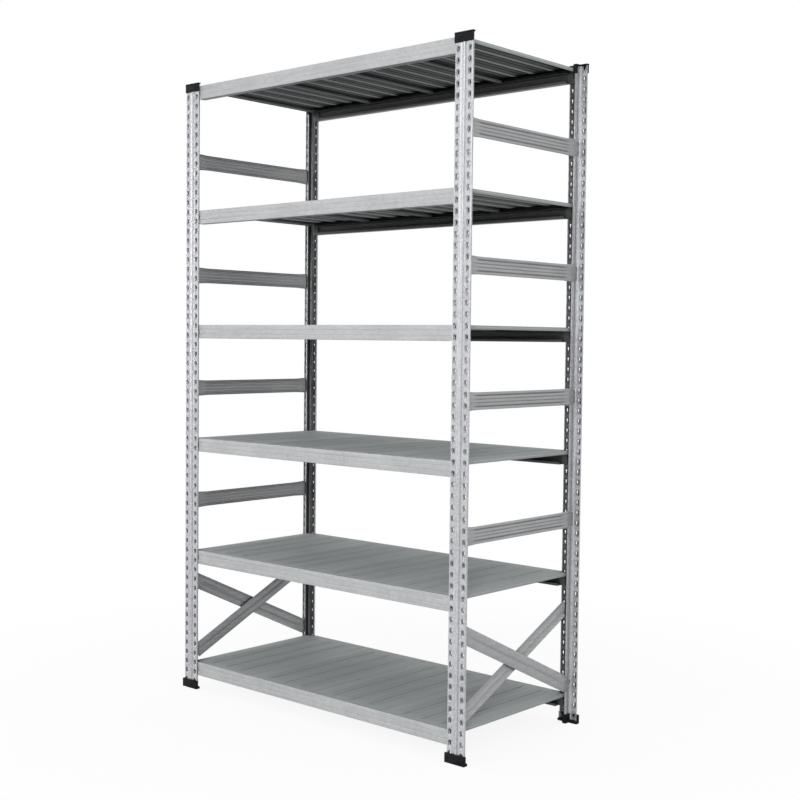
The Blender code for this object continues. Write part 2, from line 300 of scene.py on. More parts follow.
@dataclass(frozen=True)
class ZincFinish(Finish):
    """Galvanised sheet: a mild crystal pattern, rolling streaks and a fine grain, with painted shade in hollows,
    underneath and on faces that look into the unit, and painted light on sideways walls that face down.
    """

    streaks_per_metre: Triple
    roughness: float = 0.42
    metallic: float = 0.3
    gloss: float = 0.5
    streak: float = 0.3
    crystal: float = 0.1
    cloud: float = 0.15
    crystal_roughness: float = 0.05
    cloud_roughness: float = 0.06
    streak_height: float = 0.6
    grain_height: float = 0.4
    crystal_height: float = 0.15
    bump: float = 0.6
    relief: float = 0.00006
    # Painted shade on faces that look down: the share of the colour left there, eased in over down_band.
    underside_shade: float = 1.0
    down_band: Point = (0.45, 0.8)
    # Painted shade on faces that look back into the unit: the share of the colour left there.
    inside: float = 1.0
    inward_band: Point = (0.05, 0.2)
    # Painted shade in hollows and corners, from how open the surface is within the reach: the share of the colour left
    # in the most closed ones.
    hollow: float = 0.2
    hollow_reach: float = 0.03
    hollow_band: Point = (0.3, 0.95)
    # How far sideways walls are spared the painted shade in hollows.
    lit_walls: float = 0.0
    # Painted light: sideways walls that face down are blended towards white by this share, eased in over the next band.
    painted_light_walls: float = 0.0
    painted_light_band: Point = (0.1, 0.3)
    crystals_per_metre: float = 210
    clouds_per_metre: float = 9
    grains_per_metre: float = 900
    streak_detail: float = 4
    fine_detail: float = 2

    def inwards(self, way: Signal, place: Signal) -> Signal:
        """Where a face looks back to the unit's middle along one axis: the mask of the painted shade on inner faces."""
        return (way * place * -1).band(*self.inward_band)

    def shade(self, graph: ShaderGraph, colour: Signal) -> Signal:
        """Paint shade into the colour underneath, on the faces that look into the unit, and in slots and corners, and
        paint light on sideways walls that face down.

        Args:
            graph: The material's graph.
            colour: The colour of the open faces.

        Returns:
            The colour of the whole piece.
        """
        way = graph.facing()
        # Painted shade on faces that look down.
        if self.underside_shade < 1:
            colour = graph.painted_shade(colour, (way["Z"] * -1).band(*self.down_band), self.underside_shade)
        # Painted shade on faces that look back into the unit along Y.
        if self.inside < 1:
            place = graph.axes(graph.place())
            colour = graph.painted_shade(colour, self.inwards(way["Y"], place["Y"]), self.inside)
        # Painted shade in hollows, slots and corners, from how open the surface is; lit_walls spares sideways walls
        # from it.
        clear = graph.openness(self.hollow_reach, self.hollow_band)
        if self.lit_walls:
            sideways = way["X"] * way["X"]
            clear = clear + sideways * self.lit_walls * (1 - clear)
            # Painted light on sideways walls that face down.
            pale = sideways * (way["Z"] * -1).band(*self.painted_light_band) * self.painted_light_walls
            colour = graph.blend(pale, colour, WHITE)
        return graph.painted_shade(colour, 1 - clear, self.hollow)

    def surface(self, graph: ShaderGraph) -> dict[str, Any]:
        """Work out the surface's shader inputs.

        Args:
            graph: The material's graph.

        Returns:
            The inputs by name.
        """
        place = graph.place()
        long = graph.node("ShaderNodeVectorMath", {"operation": "MULTIPLY"}, {0: place, 1: self.streaks_per_metre})
        streaks = graph.noise(long["Vector"], 1, self.streak_detail)
        clouds = graph.noise(place, self.clouds_per_metre, self.fine_detail)
        grain = graph.noise(place, self.grains_per_metre, self.fine_detail)
        cells = graph.node("ShaderNodeTexVoronoi", None, {"Vector": place, "Scale": self.crystals_per_metre})
        crystals = graph.node("ShaderNodeSeparateColor", None, {"Color": cells["Color"]})["Red"]
        tone = 0.5 + streaks.swing(self.streak) + clouds.swing(self.cloud)
        tone = tone + crystals.swing(self.crystal) + grain.swing(self.crystal)
        height = streaks * self.streak_height + grain * self.grain_height + crystals * self.crystal_height
        return {
            "Base Color": self.shade(graph, graph.blend(tone.band(0, 1), self.dark, self.bright)),
            "Roughness": self.roughness + crystals.swing(self.crystal_roughness) + clouds.swing(self.cloud_roughness),
            "Metallic": self.metallic,
            "Specular IOR Level": self.gloss,
            "Normal": graph.relief(self.bump, self.relief, height),
        }


@dataclass(frozen=True)
class PostFinish(ZincFinish):
    """Zinc of the posts, with painted shade in the slots, along the web's crease and on the faces that look into the
    unit.
    """

    outer_face: float = 0.294
    middle: float = 0.605
    # Painted shade in the two slot columns: the dimples' walls darkened, and the slots' holes nearly black where the
    # surface is closed in.
    zone_edge: float = 0.0004
    slot_zone: Point = (0.0130, 0.0302)
    slot_depth: Point = (0.0011, 0.0020)
    slot_wall_shade: float = 0.2
    wall_band: Point = (0.2, 0.55)
    slot_reach: float = 0.008
    slot_band: Point = (0.46, 0.82)
    slot_black: float = 0.03
    # Painted shade on the web's faces that look back into the unit.
    web_depth: Point = (0.0085, 0.0095)
    web: float = 0.12
    # Painted shade along the crease in the web.
    crease_depth: Point = (0.0090, 0.0122)
    crease_edge: float = 0.0008
    crease: float = 0.25
    # Painted shade on the back of the flange's inner half, where it looks into the unit.
    flange_back: float = 0.2
    flange_depth: Point = (0.0050, 0.0060)
    inner_zone: Point = (0.00325, 0.004333)

    def shade(self, graph: ShaderGraph, colour: Signal) -> Signal:
        """Paint shade into the slots, along the web's crease and on the faces that look into the unit, then paint shade
        as on any zinc.

        Args:
            graph: The material's graph.
            colour: The colour of the open faces.

        Returns:
            The colour of the whole post.
        """
        way = graph.facing()
        place = graph.axes(graph.place())
        depth = self.outer_face - abs(place["Y"])
        aside = abs(abs(place["X"]) - self.middle)
        (near, far), edge = self.slot_zone, self.zone_edge
        zone = aside.band(near - edge, near) * (far + edge - aside).band(0, edge)
        # Painted shade on the dimples' walls in the slot columns.
        walls = zone * depth.band(*self.slot_depth) * abs(way["X"]).band(*self.wall_band)
        colour = graph.painted_shade(colour, walls, self.slot_wall_shade)
        # Painted shade in the slots' holes, nearly black where the surface is closed in.
        holes = zone * (1 - graph.openness(self.slot_reach, self.slot_band))
        colour = graph.painted_shade(colour, holes, self.slot_black)
        # Painted shade on the back of the flange's inner half, where it looks into the unit.
        inner = (self.middle - abs(place["X"])).band(*self.inner_zone)
        back = inner * (1 - depth.band(*self.flange_depth)) * self.inwards(way["Y"], place["Y"])
        colour = graph.painted_shade(colour, back, self.flange_back)
        # Painted shade on the web's faces that look back into the unit.
        web = depth.band(*self.web_depth) * self.inwards(way["X"], place["X"])
        colour = graph.painted_shade(colour, web, self.web)
        # Painted shade along the crease in the web.
        (start, end), edge = self.crease_depth, self.crease_edge
        crease = depth.band(start, start + edge) * (1 - depth.band(end - edge, end))
        return super().shade(graph, graph.painted_shade(colour, crease, self.crease))


@dataclass(frozen=True)
class PlasticFinish(Finish):
    """Moulded plastic with a fine, slightly uneven grain."""

    roughness: float = 0.62
    cloud_roughness: float = 0.1
    cloud_band: Point = (0.3, 0.7)
    gloss: float = 0.08
    bump: float = 0.5
    relief: float = 0.00012
    clouds_per_metre: float = 60
    cloud_detail: float = 3
    grains_per_metre: float = 1400
    grain_detail: float = 2

    def surface(self, graph: ShaderGraph) -> dict[str, Any]:
        """Work out the surface's shader inputs.

        Args:
            graph: The material's graph.

        Returns:
            The inputs by name.
        """
        place = graph.place()
        clouds = graph.noise(place, self.clouds_per_metre, self.cloud_detail)
        grain = graph.noise(place, self.grains_per_metre, self.grain_detail)
        return {
            "Base Color": graph.blend(clouds.band(*self.cloud_band), self.dark, self.bright),
            "Roughness": self.roughness + clouds.swing(self.cloud_roughness),
            "Specular IOR Level": self.gloss,
            "Normal": graph.relief(self.bump, self.relief, grain),
        }


# Posts: painted shade in hollows, slots, the web's crease and on inner faces, with sideways walls partly spared.
POST_ZINC = PostFinish("zinc_of_posts", "post_steel", (0.38, 0.39, 0.41), (0.68, 0.69, 0.71), (420, 420, 9),
                       roughness=0.36, metallic=0.35, streak=0.4, crystal=0.2, hollow=0.15, hollow_reach=0.006,
                       hollow_band=(0.4, 0.8), lit_walls=0.6, crystals_per_metre=250)
# Beams: painted shade underneath, on faces that look into the unit and in hollows.
BEAM_ZINC = ZincFinish("zinc_of_beams", "beam_steel", (0.44, 0.45, 0.46), (0.57, 0.58, 0.59), (5, 300, 300),
                       roughness=0.5, metallic=0.25, streak=0.5, crystal=0.175, cloud=0.3, underside_shade=0.5,
                       inside=0.25, gloss=0.2, crystals_per_metre=130)
# Decks: strong painted shade underneath and in hollows, and painted light on the ribs' sideways walls underneath.
DECK_ZINC = ZincFinish("zinc_of_decks", "deck_steel", (0.34, 0.37, 0.37), (0.47, 0.50, 0.50), (300, 5, 300),
                       roughness=0.55, metallic=0.12, underside_shade=0.06, down_band=(0.83, 0.97), gloss=0.02,
                       hollow=0.12, hollow_band=(0.6, 1.0), lit_walls=1.0, painted_light_walls=0.6)
# Side strips: painted shade in their grooves and corners.
STRIP_ZINC = ZincFinish("zinc_of_strips", "strip_steel", (0.34, 0.35, 0.36), (0.54, 0.55, 0.56), (300, 6, 260),
                        roughness=0.48, streak=0.5, hollow=0.02, hollow_reach=0.014, hollow_band=(0.5, 0.96))
PLASTIC = PlasticFinish("black_moulded_plastic", "black_plastic", (0.008, 0.0076, 0.0084), (0.018, 0.017, 0.019))


class CellRow:
    """A node tree that repeats a cell along a straight line and gives the row its finish."""

    def __init__(self) -> None:
        """Build the tree, with its inputs Cell, Count, Pitch and Finish."""
        self.tree = bpy.data.node_groups.new("cell_row", "GeometryNodeTree")
        self.keys: dict[str, str] = {}
        kinds = {"Cell": "Geometry", "Count": "Int", "Pitch": "Vector", "Finish": "Material"}
        for name, kind in kinds.items():
            socket = self.tree.interface.new_socket(name, in_out="INPUT", socket_type=f"NodeSocket{kind}")
            self.keys[name] = socket.identifier
        self.tree.interface.new_socket("Row", in_out="OUTPUT", socket_type="NodeSocketGeometry")
        entry = self.tree.nodes.new("NodeGroupInput").outputs
        line = self._node("GeometryNodeMeshLine", {"Count": entry["Count"], "Offset": entry["Pitch"]})
        copies = self._node("GeometryNodeInstanceOnPoints", {"Points": line["Mesh"], "Instance": entry["Cell"]})
        real = self._node("GeometryNodeRealizeInstances", {"Geometry": copies["Instances"]})
        dressed = self._node("GeometryNodeSetMaterial", {"Geometry": real["Geometry"], "Material": entry["Finish"]})
        self._node("NodeGroupOutput", {"Row": dressed["Geometry"]})

    def _node(self, kind: str, links: dict[str, bpy.types.NodeSocket]) -> bpy.types.bpy_prop_collection:
        """Add a node and link its inputs.

        Args:
            kind: The node's type.
            links: Output sockets, by the name of the input that they feed.

        Returns:
            The node's outputs.
        """
        node = self.tree.nodes.new(kind)
        for name, socket in links.items():
            self.tree.links.new(socket, node.inputs[name])
        return node.outputs

    def repeat(self, cell: Mesh, count: int, pitch: Vector, finish: Finish) -> Mesh:
        """Repeat a cell.

        Args:
            cell: The cell, in its first place.
            count: How many cells the row has.
            pitch: The step from one cell to the next.
            finish: The finish of the row.

        Returns:
            The row as one plain mesh, its cells not yet welded.
        """
        holder = add_object("cell_holder", cell)
        modifier = holder.modifiers.new("row", "NODES")
        modifier.node_group = self.tree
        modifier[self.keys["Count"]] = count
        modifier[self.keys["Pitch"]] = tuple(pitch)
        modifier[self.keys["Finish"]] = finish.material()
        graph = bpy.context.evaluated_depsgraph_get()
        row = bpy.data.meshes.new_from_object(holder.evaluated_get(graph))
        holder.modifiers.remove(modifier)
        bpy.data.objects.remove(holder, do_unlink=True)
        return row


def left_of(way: Vector) -> Vector:
    """The direction to the left of a direction in the plane."""
    return Vector((-way.y, way.x))


def bend(corner: Vector, before: Vector, after: Vector, radius: float, steps: int) -> list[Station]:
    """Round one corner of a path.

    Args:
        corner: Where the straight stretches would meet.
        before: Direction of the stretch before the corner.
        after: Direction of the stretch after it.
        radius: The bend's radius.
        steps: How many steps the bend has.

    Returns:
        Points along the bend, each with the normal there.
    """
    turn = math.atan2(before.cross(after), before.dot(after))
    hand = math.copysign(1, turn)
    normal = left_of(before)
    centre = corner - before * radius * math.tan(abs(turn) / 2) + normal * radius * hand
    ways = [Matrix.Rotation(turn * step / steps, 2) @ normal for step in range(steps + 1)]
    return [(centre - way * radius * hand, way) for way in ways]


@dataclass(frozen=True)
class RolledSheet:
    """A strip of sheet bent along a path of (u, v, bend radius) points."""

    path: Sequence[Triple]
    sheet: float
    steps: int = 4

    def stations(self) -> list[Station]:
        """Follow the middle of the sheet.

        Returns:
            Points along it, each with the sheet's normal there.
        """
        points = [Vector(item[:2]) for item in self.path]
        ways = [(second - first).normalized() for first, second in zip(points, points[1:])]
        found = [(points[0], left_of(ways[0]))]
        for corner, before, after, item in zip(points[1:], ways, ways[1:], self.path[1:]):
            found += bend(corner, before, after, item[2], self.steps)
        return [*found, (points[-1], left_of(ways[-1]))]

    def outline(self) -> list[Point]:
        """Go round both faces of the sheet.

        Returns:
            The closed outline.
        """
        stations = self.stations()
        left = [middle + normal * self.sheet / 2 for middle, normal in stations]
        right = [middle - normal * self.sheet / 2 for middle, normal in stations]
        return [tuple(point) for point in left + right[::-1]]


def rounded(corners: Sequence[Triple], steps: int = 3) -> list[Point]:
    """Closed outline with each corner rounded.

    Args:
        corners: The corners as (u, v, radius).
        steps: How many steps each rounding has.

    Returns:
        The outline's points.
    """
    points: list[Point] = []
    for index, (u, v, radius) in enumerate(corners):
        corner = Vector((u, v))
        before = (corner - Vector(corners[index - 1][:2])).normalized()
        after = (Vector(corners[(index + 1) % len(corners)][:2]) - corner).normalized()
        found = bend(corner, before, after, radius, steps) if radius else [(corner, before)]
        points += [tuple(point) for point, _ in found]
    return points


def inset(outline: Sequence[Point], distance: float, least: float = 0.5) -> list[Point]:
    """A closed outline moved inwards by a small distance.

    Args:
        outline: The outline, counterclockwise.
        distance: How far it moves.
        least: Least share of the distance that a sharp corner's own way takes.

    Returns:
        The moved outline, point for point.
    """
    moved = []
    for index, point in enumerate(outline):
        here = Vector(point)
        before = left_of((here - Vector(outline[index - 1])).normalized())
        after = left_of((Vector(outline[(index + 1) % len(outline)]) - here).normalized())
        way = (before + after).normalized()
        moved.append(tuple(here + way * distance / max(way.dot(before), least)))
    return moved


def mirrored(half: Sequence[tuple[float, ...]]) -> list[tuple[float, ...]]:
    """The points of one half, after those of its mirror image in the first value."""
    return [(-first, *rest) for first, *rest in reversed(half)] + list(half)


def rectangle(u_low: float, u_high: float, v_low: float, v_high: float) -> list[Point]:
    """Outline of a rectangle."""
    return [(u_low, v_low), (u_high, v_low), (u_high, v_high), (u_low, v_high)]


def run_out(start: float, length: float, steps: int) -> list[Point]:
    """Places along a groove's run-out, each with the share of the groove's depth there."""
    shares = [step / steps for step in range(steps + 1)]
    return [(start - length * (1 - share), (1 + math.cos(math.pi * share)) / 2) for share in shares]


def groove(face: float, floor: float, middle: float, half: float, radius: float) -> list[Triple]:
    """Path points of a groove across an upright stretch, from half its width before its middle to half after it."""
    return [(face, middle - half, radius), (floor, middle, radius), (face, middle + half, radius)]


def skin(shape: Shape, rings: Sequence[Sequence[bmesh.types.BMVert]], closed: bool = True) -> None:
    """Lay faces between neighbouring rows of vertices.

    Args:
        shape: The shape that gets the faces.
        rings: The rows, all with the same number of vertices.
        closed: Whether each row runs round.
    """
    for first, second in zip(rings, rings[1:]):
        for index in range(0 if closed else 1, len(first)):
            shape.faces.new((first[index - 1], first[index], second[index], second[index - 1]))


def as_mesh(shape: Shape, name: str, closed: bool = True) -> Mesh:
    """Turn a shape into a mesh, and give a closed one clean outward normals.

    Args:
        shape: The shape, which is freed.
        name: The mesh's name.
        closed: Whether the shape is closed.

    Returns:
        The mesh.
    """
    if closed:
        bmesh.ops.remove_doubles(shape, verts=shape.verts, dist=FINE_WELD)
        bmesh.ops.recalc_face_normals(shape, faces=shape.faces)
    mesh = bpy.data.meshes.new(name)
    shape.to_mesh(mesh)
    shape.free()
    return mesh


def add_object(name: str, data: bpy.types.ID) -> bpy.types.Object:
    """Put an object into the scene.

    Args:
        name: The object's name.
        data: Its mesh, lamp or camera.

    Returns:
        The object.
    """
    added = bpy.data.objects.new(name, data)
    bpy.context.scene.collection.objects.link(added)
    return added


def joined(parts: Sequence[Mesh]) -> Shape:
    """Weld open meshes that share their rims.

    Args:
        parts: The meshes.

    Returns:
        One shape.
    """
    shape = bmesh.new()
    for part in parts:
        shape.from_mesh(part)
    bmesh.ops.remove_doubles(shape, verts=shape.verts, dist=WELD)
    return shape


def loft(name: str, sections: Sequence[tuple[float, Sequence[Point]]], plane: Plane) -> Mesh:
    """Skin a closed body over outlines that all have the same number of points.

    Args:
        name: The mesh's name.
        sections: Outlines of (u, v) points with their places along w.
        plane: The directions of u, v and w.

    Returns:
        The body.
    """
    shape = bmesh.new()
    rings = [[shape.verts.new((u, v, w)) for u, v in outline] for w, outline in sections]
    skin(shape, rings)
    shape.faces.new(rings[0])
    shape.faces.new(rings[-1])
    bmesh.ops.transform(shape, matrix=plane.matrix(), verts=shape.verts)
    return as_mesh(shape, name)


def block(name: str, outline: Sequence[Point], low: float, high: float, plane: Plane) -> Mesh:
    """A straight prism, used as a small piece or a cutter."""
    return loft(name, [(low, outline), (high, outline)], plane)


def combine(mesh: Mesh, tools: Sequence[Mesh], operation: str) -> Mesh:
    """Apply a Boolean with each tool in turn.

    Args:
        mesh: The body.
        tools: The tools' meshes.
        operation: UNION or DIFFERENCE.

    Returns:
        The combined body.
    """
    holder = add_object(mesh.name, mesh)
    helpers = [add_object(tool.name, tool) for tool in tools]
    for helper in helpers:
        step = holder.modifiers.new(helper.name, "BOOLEAN")
        step.operation = operation
        step.solver = "EXACT"
        step.object = helper
    graph = bpy.context.evaluated_depsgraph_get()
    result = bpy.data.meshes.new_from_object(holder.evaluated_get(graph))
    result.name = mesh.name
    for item in [holder, *helpers]:
        bpy.data.objects.remove(item, do_unlink=True)
    return result


def set_piece(node: str, mesh: Mesh, place: Matrix, finish: Finish) -> None:
    """Put a shaped piece in its place instead of its node.

    Args:
        node: The node that the piece stands for.
        mesh: The piece in its own frame.
        place: Its place in the unit.
        finish: Its finish.
    """
    shape = mesh.copy()
    shape.name = f"{node}_fine"
    shape.transform(place)
    shape.materials.clear()
    shape.materials.append(finish.material())
    shape.shade_smooth()
    shape.set_sharp_from_angle(angle=SMOOTH_ANGLE)
    piece = add_object(f"{node}_fine", shape)
    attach(piece, BODY)
    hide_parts(node)
    LOG.info("%s: %d faces", node, len(shape.polygons))


@dataclass(frozen=True)
class Layout:
    """Sizes that several kinds of piece share. Those without a value are read from the unit's nodes."""

    post_spacing: float
    depth: float
    post_low: float
    post_high: float
    post_width: float
    web_depth: float
    shelves: tuple[float, ...]
    bar_middles: tuple[float, ...]
    raster: float = 0.033
    hook_drop: float = 0.004
    column: float = 0.02175
    flange: float = 0.001
    flange_back: float = 0.0025
    lip: float = 0.0075
    web_half: float = 0.003
    clearance: float = 0.0003

    @classmethod
    def read(cls) -> Layout:
        """Read the unit's sizes.

        Returns:
            The layout.
        """
        low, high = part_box("post_front_right")
        rear_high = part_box("post_rear_right")[1]
        shelves = tuple(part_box(f"deck_{level}_panel_1")[1].z for level in range(1, SHELVES + 1))
        bars = tuple(sum(corner.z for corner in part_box(f"side_bar_right_{level}")) / 2
                     for level in range(FIRST_BAR_LEVEL, SHELVES))
        return cls(low.x + high.x, rear_high.y - low.y, low.z, high.z, high.x - low.x, high.y - low.y, shelves, bars)

    @property
    def post_middle(self) -> float:
        """Distance of a post's middle from the unit's."""
        return self.post_spacing / 2

    @property
    def inner_slots(self) -> float:
        """Distance of a post's inner column of slots from the unit's middle."""
        return self.post_middle - self.column

    def at(self, row: Row, x: float, z: float) -> Matrix:
        """A place on the outer faces of a row's posts, turned to the row."""
        return Matrix.Translation((x, row.value * self.depth / 2, z)) @ row.turn

    def corners(self) -> list[tuple[str, Matrix]]:
        """The unit's corners on the floor, each with its words in node names and its place."""
        return [(f"{row.word}_{side.word}", self.at(row, side.value * self.post_middle, 0))
                for row in Row for side in Side]


@dataclass(frozen=True)
class SlotShape:
    """A drop-shaped slot with a round head and a narrow tail, sunk in a pressed dimple with a collar behind.

    The dimple's steps are (distance from the slot's edge, depth, how much further down it reaches).
    """

    head_radius: float = 0.0033
    tail_radius: float = 0.0018
    head_rise: float = 0.0044
    tail_drop: float = 0.0036
    collar: float = 0.0022
    dimple: tuple[Triple, ...] = (
        (0.0032, 0.0, 0.0034), (0.0030, 0.0004, 0.0032), (0.0012, 0.0023, 0.0012), (0.0004, 0.0025, 0.0004),
        (0.0, 0.0028, 0.0))
    directions: int = 360
    least_facing: float = 0.05

    def reach(self, way: Vector, offset: float, ramp: float) -> float:
        """Distance from the slot's middle to its edge.

        Args:
            way: The direction, as a unit vector.
            offset: How far the edge is moved outwards.
            ramp: How much further down its tail is moved.

        Returns:
            The distance.
        """
        angles = np.linspace(0, 2 * math.pi, self.directions, endpoint=False)
        normals = np.stack([np.cos(angles), np.sin(angles)], axis=1)
        head = normals[:, 1] * self.head_rise + self.head_radius
        tail = -normals[:, 1] * (self.tail_drop + ramp) + self.tail_radius
        support = np.maximum(head, tail) + offset
        facing = normals @ np.array(way)
        ahead = facing > self.least_facing
        return float(np.min(support[ahead] / facing[ahead]))


@dataclass(frozen=True)
class Posts:
    """The four T posts: flange with lips and a centre bead, web, and two columns of pressed slots.

    The front and the back are (x, y) points of the section's right half, and the tip's y is measured from the
    web's end. The flange's panel with the slots lies between them and the lip.
    """

    layout: Layout
    rows: CellRow
    sheet: float = 0.0015
    panel: Point = (0.0132, 0.0303)
    front: tuple[Point, ...] = (
        (0, 0), (0.0036, 0), (0.0041, 0.0003), (0.0049, 0.0028), (0.0053, 0.0031), (0.0058, 0.0030),
        (0.0084, 0.0018), (0.0106, 0.0012), (0.0122, 0.0010))
    back: tuple[Point, ...] = (
        (0.0122, 0.0025), (0.0106, 0.0026), (0.0084, 0.0031), (0.0059, 0.0044), (0.0051, 0.0047),
        (0.0042, 0.0048), (0.0033, 0.0052), (0.0030, 0.0061))
    tip: tuple[Point, ...] = ((0.0024, 0.0010), (0.0021, 0.0003), (0.0014, 0), (0.0003, 0), (0, 0.0006))
    lip_radius: float = 0.0018
    lip_end_radius: float = 0.0003
    lip_inner_radius: float = 0.0007
    crease_share: float = 0.36
    crease: float = 0.0017
    across: int = 6
    upward: int = 5
    outermost: float = 0.97
    slot: SlotShape = SlotShape()

    def paths(self) -> list[list[Point]]:
        """Open paths of the section's right half, all but the slots' panel.

        Returns:
            The front, the lip round the flange's edge, and the back with the web.
        """
        layout = self.layout
        half, inside = layout.post_width / 2, layout.post_width / 2 - self.sheet
        inner, outer = self.panel
        lip = rounded([(outer, layout.flange, 0), (half, layout.flange, self.lip_radius),
                       (half, layout.lip, self.lip_end_radius), (inside, layout.lip, self.lip_end_radius),
                       (inside, layout.flange_back, self.lip_inner_radius), (outer, layout.flange_back, 0)])
        middle = layout.flange_back + (layout.web_depth - layout.flange_back) * self.crease_share
        crease = [(layout.web_half, middle - self.crease), (layout.web_half - self.crease, middle),
                  (self.tip[0][0], middle + self.crease)]
        tip = [(x, layout.web_depth - y) for x, y in self.tip]
        return [[*self.front, (inner, layout.flange)], lip,
                [(inner, layout.flange_back), *self.back, *crease, *tip]]

    def cell(self, low: float, high: float, middle: float) -> Mesh:
        """A length of post with one slot in each column.

        Args:
            low: Its lower end.
            high: Its upper end.
            middle: Height of the slots' middle.

        Returns:
            The length, open at both ends.
        """
        shape = bmesh.new()
        heights = [low + (high - low) * step / self.upward for step in range(self.upward + 1)]
        for sign in (-1, 1):
            for path in self.paths():
                skin(shape, [[shape.verts.new((sign * x, y, z)) for z in heights] for x, y in path], closed=False)
            self._panel(shape, sign, heights, middle)
        bmesh.ops.remove_doubles(shape, verts=shape.verts, dist=WELD)
        return as_mesh(shape, "post_cell", closed=False)

    def _panel(self, shape: Shape, sign: int, heights: Sequence[float], middle: float) -> None:
        """The flange's panel round one slot, its front, its back and the slot's wall.

        Args:
            shape: The shape that gets the panel.
            sign: -1 for the left column and 1 for the right one.
            heights: Heights of the points on the panel's sides.
            middle: Height of the slot's middle.
        """
        inner, outer = self.panel
        widths = [inner + (outer - inner) * step / self.across for step in range(self.across + 1)]
        edge = [(x, heights[0]) for x in widths[:-1]] + [(widths[-1], z) for z in heights[:-1]]
        edge += [(x, heights[-1]) for x in widths[:0:-1]] + [(widths[0], z) for z in heights[:0:-1]]
        front, back = self.layout.flange, self.layout.flange_back
        steps = [(edge, front)]
        steps += [(self._around(edge, middle, offset, ramp), front + depth) for offset, depth, ramp in self.slot.dimple]
        for offset, depth, ramp in self.slot.dimple[::-1]:
            collar = 0 if offset else self.slot.collar
            steps.append((self._around(edge, middle, offset, ramp), back + depth + collar))
        steps.append((edge, back))
        skin(shape, [[shape.verts.new((sign * x, y, z)) for x, z in points] for points, y in steps])

    def _around(self, edge: Sequence[Point], middle: float, offset: float, ramp: float) -> list[Point]:
        """Points round the slot, each on the way to a point of the panel's edge.

        Args:
            edge: The panel's edge.
            middle: Height of the slot's middle.
            offset: How far the points lie outside the slot.
            ramp: How much further down they lie under it.

        Returns:
            The points.
        """
        centre = Vector((self.layout.column, middle))
        found = []
        for point in edge:
            span = Vector(point) - centre
            way = span.normalized()
            length = min(self.slot.reach(way, offset, ramp), span.length * self.outermost)
            found.append(tuple(centre + way * length))
        return found

    def mesh(self) -> Mesh:
        """Shape one post, with its slots on the raster of the lowest shelf's hooks.

        Returns:
            The post, standing at its place along Z.
        """
        layout, raster = self.layout, self.layout.raster
        half = raster / 2
        hook = layout.shelves[0] - layout.hook_drop
        first = hook - math.floor((hook - half - layout.post_low) / raster) * raster
        count = math.floor((layout.post_high - first) / raster) + 1
        last = first + raster * (count - 1)
        inner = self.cell(first + half, first + raster + half, first + raster)
        row = self.rows.repeat(inner, count - 2, Vector((0, 0, raster)), POST_ZINC)
        lowest = self.cell(layout.post_low, first + half, first)
        highest = self.cell(last - half, layout.post_high, last)
        shape = joined([lowest, row, highest])
        rims = [edge for edge in shape.edges if edge.is_boundary]
        filled = bmesh.ops.holes_fill(shape, edges=rims, sides=0)
        bmesh.ops.triangulate(shape, faces=filled["faces"], ngon_method="EAR_CLIP")
        return as_mesh(shape, "post")

    def build(self) -> None:
        """Set the four posts."""
        mesh = self.mesh()
        for words, place in self.layout.corners():
            set_piece(f"post_{words}", mesh, place, POST_ZINC)


@dataclass(frozen=True)
class Cup:
    """One kind of cup: its plate, how far its walls reach round the post's sides, and its edge over them."""

    plate: float
    grip: float
    brow: float = 0.0


